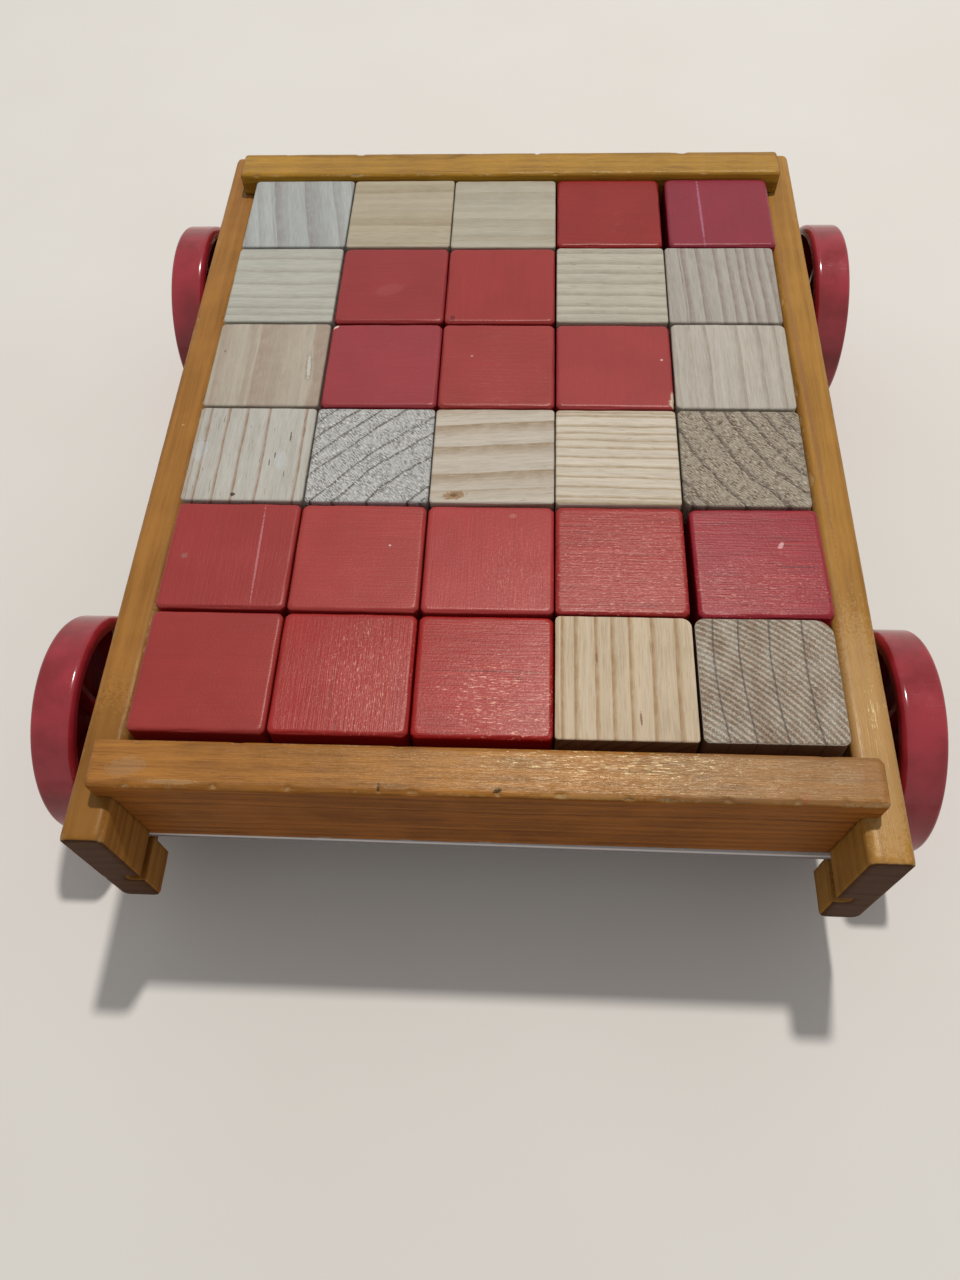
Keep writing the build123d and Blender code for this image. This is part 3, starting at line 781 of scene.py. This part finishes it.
def varnished(name, centre, seed, grain, pith, ring, pale, late, worn, end, contrast=0.7, fibre=0.5,
              wobble=1.2, relief=1.0, gloss=1.0, face="FFFFFF", painted_glint_place=(0, 0, 1, 1), marks=()):
    """Amber varnish over pine, rubbed through to dry wood where the wear attribute is high."""
    s = Shade(name)
    f = Figure(s, centre, grain, pith=pith, ring=ring, wobble=wobble, seed=seed)
    pale, late, worn, end = rgb(pale), rgb(late), rgb(worn), rgb(end)
    grit = s.noise(f.place, 0.5, detail=5, roughness=0.7)
    pores = s.noise(f.fibres, (3.0, 3.0, 0.05), detail=3, roughness=0.6)
    colour = s.mix(s.times(f.rings, contrast), pale, late)
    colour = s.mix(s.remap(f.streak, 0.35, 0.7, 0.0, 0.5), colour, shade(late, 0.95))
    colour = s.mix(s.remap(f.fine, 0.4, 0.75, 0.0, fibre), colour, shade(late, 0.75))
    colour = s.mix(s.remap(pores, 0.45, 0.3, 0.0, fibre), colour, shade(late, 0.6))
    colour = s.mix(s.remap(f.blotch, 0.35, 0.7, 0.0, 0.3), colour, shade(pale, 1.2))
    colour = s.mix(f.end, colour, s.mix(f.rings, end, shade(end, 0.6)))
    wear = s.attribute("wear")
    bare = s.remap(s.add(wear, s.times(grit, 0.9)), 0.82, 1.15)
    colour = s.mix(s.times(bare, 0.6), colour, s.mix(s.remap(grit, 0.35, 0.65), shade(worn, 0.5), worn))
    colour = marked(s, centre, colour, marks)
    # Sides multiplied by the face colour: on the front board this is painted shade, darker and redder.
    colour = s.mix(f.side, colour, rgb(face), "MULTIPLY")
    # Painted highlight: golden glint dots mixed into the colour in a ragged place on top; the same noise also
    # roughens and bumps the varnish.
    glint = s.noise(f.fibres, (3.2, 3.2, 0.3), detail=2, roughness=0.6)
    painted_glint_zone = s.patch(f.place, painted_glint_place)
    colour = s.mix(s.times(s.remap(glint, 0.56, 0.66), painted_glint_zone, 0.7), colour, rgb("F2DDA8"))
    worn_dull = s.add(s.times(bare, 0.3), s.times(wear, 0.3))
    s.set(
        Base_Color=colour,
        Roughness=s.add(s.remap(glint, 0.35, 0.65, 0.34, 0.2), f.dull, worn_dull),
        Specular_IOR_Level=s.times(f.gloss, s.remap(wear, 0.05, 0.4, gloss, 0.3 * gloss)),
        Specular_Tint=(1.0, 0.86, 0.62),
    )
    grain = s.add(s.times(f.rings, 0.04), s.times(f.fine, 0.06), s.times(pores, 0.1), s.times(glint, 0.05))
    s.bump(s.add(s.times(grain, relief), s.times(bare, -0.05)))
    return s.material


RAIL_WOOD = dict(worn="B8966A", end="4E3220", fibre=0.22, relief=0.35, gloss=0.55)
RAILS = {
    "left": dict(
        seed=3,
        wood=dict(pith=(-4, 60), pale="A27036", late="74481C", marks=((0, -132, 90, 60, 24, "6A4418", 0.4),)),
    ),
    "right": dict(
        seed=4,
        wood=dict(
            pith=(5, 70), pale="A67838", late="7A4E22", painted_glint_place=(1.5, -104, 4, 14),
            marks=((0, -112, 90, 84, 16, "C8A880", 0.25), (-3, 30, 91, 170, 1.8, "8A6044", 0.45)),
        ),
    ),
}
# Knocks are along the top's outer arris, as the place along it and the length, both in mm.
BOARDS = {
    "front": dict(
        seed=7,
        knocks=((-97, 7), (-84, 3), (-72, 3), (-52, 4), (-27, 2), (-18, 6), (5, 2), (22, 5), (48, 3), (66, 4),
                (84, 3), (97, 6), (104, 5)),
        wood=dict(
            # The face colour darkens and reddens the sides as painted shade.
            face="F2E2DA", painted_glint_place=(34, 2.5, 66, 8), pale="A76E30", late="5F3616", worn="B0926A", end="4E3220",
            pith=(-20, -50),
            marks=(
                (-97, -2, 10, 12, 6, "A8947A", 0.18),
                (-84, -6, 0, 16, 1.6, "B59A76", 0.3),
                (-27, -6, 90, 3, 0.8, "3A2412", 0.8),
                (5, -6, 20, 3, 1.2, "2E1C10", 0.85),
                (59, -1, 10, 6, 1.6, "6E4A2A", 0.6),
                (79, -4, 80, 4, 0.7, "A8322C", 0.55),
                (86, -6, 75, 4, 0.8, "A8322C", 0.6),
                (97, 0, 10, 10, 4, "B8A488", 0.2),
                (30, -7, 0, 34, 1.4, "B8935E", 0.3),
                (80, 0, 0, 76, 30, "806448", 0.4),
            ),
        ),
    ),
    "rear": dict(
        seed=8,
        knocks=((-60, 4), (12, 3), (70, 5)),
        wood=dict(pale="AA7D2A", late="724A15", worn="C0A988", end="4E3220", pith=(25, -60)),
    ),
}


def make_tray():
    for side, look in RAILS.items():
        node = f"{side}_rail"
        low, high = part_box(node)
        piece = weathered(node, voxel_mm=0.8, dents=40, depth_mm=0.5, seed=look["seed"])
        wood = RAIL_WOOD | look["wood"]
        finish = varnished(node + "_finish", (low + high) / 2, 2.0, grain="Y", ring=6.0, **wood)
        piece.data.materials.append(finish)
    for end, look in BOARDS.items():
        node = f"{end}_board"
        low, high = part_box(node)
        knocks = look["knocks"]
        piece = weathered(node, voxel_mm=0.6, dents=50, depth_mm=0.6, seed=look["seed"], knocks=knocks)
        finish = varnished(node + "_finish", (low + high) / 2, 5.0, grain="X", ring=4.0, **look["wood"])
        piece.data.materials.append(finish)


def panel_finish():
    """Hardboard: pale lacquer on top, edges white above and blue-grey below, brown fibres underneath."""
    s = Shade("hardboard_finish")
    low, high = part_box("floor_panel")
    place = s.place_mm((0, 0, high[2]))
    height = s.split(place)[2]
    up = s.split(s.normal())[2]
    fibre = s.noise(place, 1.2, detail=4, roughness=0.7)
    brown = s.mix(fibre, rgb("6A503A"), rgb("8C6E52"))
    lacquer = s.mix(s.noise(place, 0.1), rgb("C2C4C6"), rgb("D6D7D6"))
    edge = s.mix(s.remap(height, -1.9, -1.2), s.mix(fibre, rgb("6C7684"), rgb("8A94A2")), rgb("FFFFFF"))
    colour = s.mix(s.remap(up, -0.2, 0.2), brown, edge)
    colour = s.mix(s.remap(up, 0.5, 0.8), colour, lacquer)
    s.set(Base_Color=colour, Roughness=s.remap(up, 0.5, 0.8, 0.8, 0.35))
    s.bump(s.times(fibre, s.remap(up, 0.5, 0.8, 0.12, 0.01)))
    return s.material


# ---------------------------------------------------------------- wheels and metal
def plastic_finish():
    s = Shade("red_plastic_finish")
    place = s.place_mm()
    cloud = s.noise(place, 0.08, detail=3)
    scuff = s.remap(s.noise(place, (0.3, 2.5, 2.5), detail=4, roughness=0.7), 0.62, 0.75)
    colour = s.mix(s.remap(cloud, 0.3, 0.7), rgb("7E141C"), rgb("9A2631"))
    colour = s.mix(s.times(scuff, 0.3), colour, rgb("B4525C"))
    roughness = s.add(s.remap(cloud, 0.3, 0.7, 0.1, 0.2), s.times(scuff, 0.25))
    s.set(Base_Color=colour, Roughness=roughness, Specular_IOR_Level=0.45)
    s.bump(s.add(s.times(cloud, 0.05), s.times(scuff, -0.01)))
    return s.material


def metal_finish(name, colour, roughness, brushed):
    s = Shade(name)
    place = s.place_mm()
    grain = s.noise(place, brushed, detail=4)
    tarnish = s.noise(place, 0.35, detail=3)
    tint = s.mix(s.remap(tarnish, 0.45, 0.75, 0.0, 0.6), rgb(colour), shade(rgb(colour), 0.55))
    polish = s.remap(grain, 0.3, 0.7, roughness - 0.08, roughness + 0.12)
    s.set(Base_Color=tint, Metallic=1.0, Roughness=polish)
    s.bump(s.times(grain, 0.03))
    return s.material


def dress(nodes, material):
    """Gives carried-over CAD nodes their finish."""
    for node in nodes:
        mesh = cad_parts[node].data
        mesh.materials.clear()
        mesh.materials.append(material)


def make_fittings():
    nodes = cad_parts
    dress(["floor_panel"], panel_finish())
    dress([n for n in nodes if n.endswith("_wheel")], plastic_finish())
    dress([n for n in nodes if n.endswith("_axle")], metal_finish("axle_finish", "B8B8B6", 0.3, (0.1, 4, 4)))
    caps = [n for n in nodes if n.endswith(("_washer", "_cap"))]
    dress(caps, metal_finish("cap_finish", "C0C0BE", 0.25, 1.5))
    dress(["board_screws"], metal_finish("screw_finish", "B9B4A2", 0.35, 1.5))
    dress(["panel_nails"], metal_finish("nail_finish", "8C8C8C", 0.45, 1.5))


# ---------------------------------------------------------------- floor, lights, camera
FLOOR_HALF = 1.6
FLOOR_STEPS = 40


def make_floor():
    steps = FLOOR_STEPS
    line = np.linspace(-FLOOR_HALF, FLOOR_HALF, steps + 1)
    vertices = [(x, y, 0.0) for y in line for x in line]
    row = steps + 1
    starts = [j * row + i for j in range(steps) for i in range(steps)]
    faces = [(n, n + 1, n + row + 1, n + row) for n in starts]
    floor = new_piece("floor", vertices, faces)
    s = Shade("floor_finish")
    colour = s.mix(s.noise(s.place_mm(), 0.01), rgb("D9D3CB"), rgb("DFDAD3"))
    s.set(Base_Color=colour, Roughness=0.7, Specular_IOR_Level=0.2)
    floor.data.materials.append(s.material)


KEY_FROM = Vector((0.10, 0.28, 0.92))   # towards the ceiling lamp
KEY_DISTANCE = 2.2
KEY_SIZE = 0.12
KEY_POWER = 31.0
KEY_COLOUR = (1.0, 0.985, 0.96)
AMBIENT = (0.40, 0.41, 0.42)            # the room's light from all round
BACKDROP = (0.80, 0.79, 0.77)           # what the camera, gloss and metal see beyond the floor


def make_lamp():
    lamp = bpy.data.lights.new("key", "AREA")
    lamp.shape = "DISK"
    lamp.size = KEY_SIZE
    lamp.energy = KEY_POWER
    lamp.color = KEY_COLOUR
    key = bpy.data.objects.new("key", lamp)
    direction = KEY_FROM.normalized()
    key.location = direction * KEY_DISTANCE
    key.rotation_euler = direction.to_track_quat("Z", "Y").to_euler()
    bpy.context.scene.collection.objects.link(key)


def make_room():
    """Even light from all round, and a pale backdrop where a ray from the camera or a gloss misses."""
    world = bpy.data.worlds.new("room")
    world.use_nodes = True
    tree = world.node_tree
    path = tree.nodes.new("ShaderNodeLightPath")
    seen = path.outputs["Is Camera Ray"]
    for ray in ("Is Glossy Ray", "Is Transmission Ray"):
        either = tree.nodes.new("ShaderNodeMath")
        either.operation = "MAXIMUM"
        tree.links.new(seen, either.inputs[0])
        tree.links.new(path.outputs[ray], either.inputs[1])
        seen = either.outputs[0]
    colour = tree.nodes.new("ShaderNodeMix")
    colour.data_type = "RGBA"
    colour.inputs[6].default_value = (*AMBIENT, 1)
    colour.inputs[7].default_value = (*BACKDROP, 1)
    tree.links.new(seen, colour.inputs["Factor"])
    tree.links.new(colour.outputs[2], tree.nodes["Background"].inputs["Color"])
    bpy.context.scene.world = world


CAMERA_AT = Vector((0.0129, -0.2330, 0.3385))
CAMERA_LOOKS_AT = Vector((-0.0023, -0.0833, 0.0800))
CAMERA_ROLL = -3.95     # degrees
CAMERA_LENS = 27.79     # on a 36 mm frame height


def make_camera():
    data = bpy.data.cameras.new("camera")
    data.sensor_fit = "VERTICAL"
    data.sensor_height = 36.0
    data.lens = CAMERA_LENS
    data.clip_start = 0.01
    camera = bpy.data.objects.new("camera", data)
    look = (CAMERA_LOOKS_AT - CAMERA_AT).to_track_quat("-Z", "Y").to_matrix().to_4x4()
    roll = Matrix.Rotation(math.radians(CAMERA_ROLL), 4, "Z")
    camera.matrix_world = Matrix.Translation(CAMERA_AT) @ look @ roll
    bpy.context.scene.collection.objects.link(camera)
    bpy.context.scene.camera = camera
    bpy.context.scene.view_settings.view_transform = "Standard"


make_camera()
make_floor()
make_lamp()
make_room()
make_blocks()
make_tray()
make_fittings()
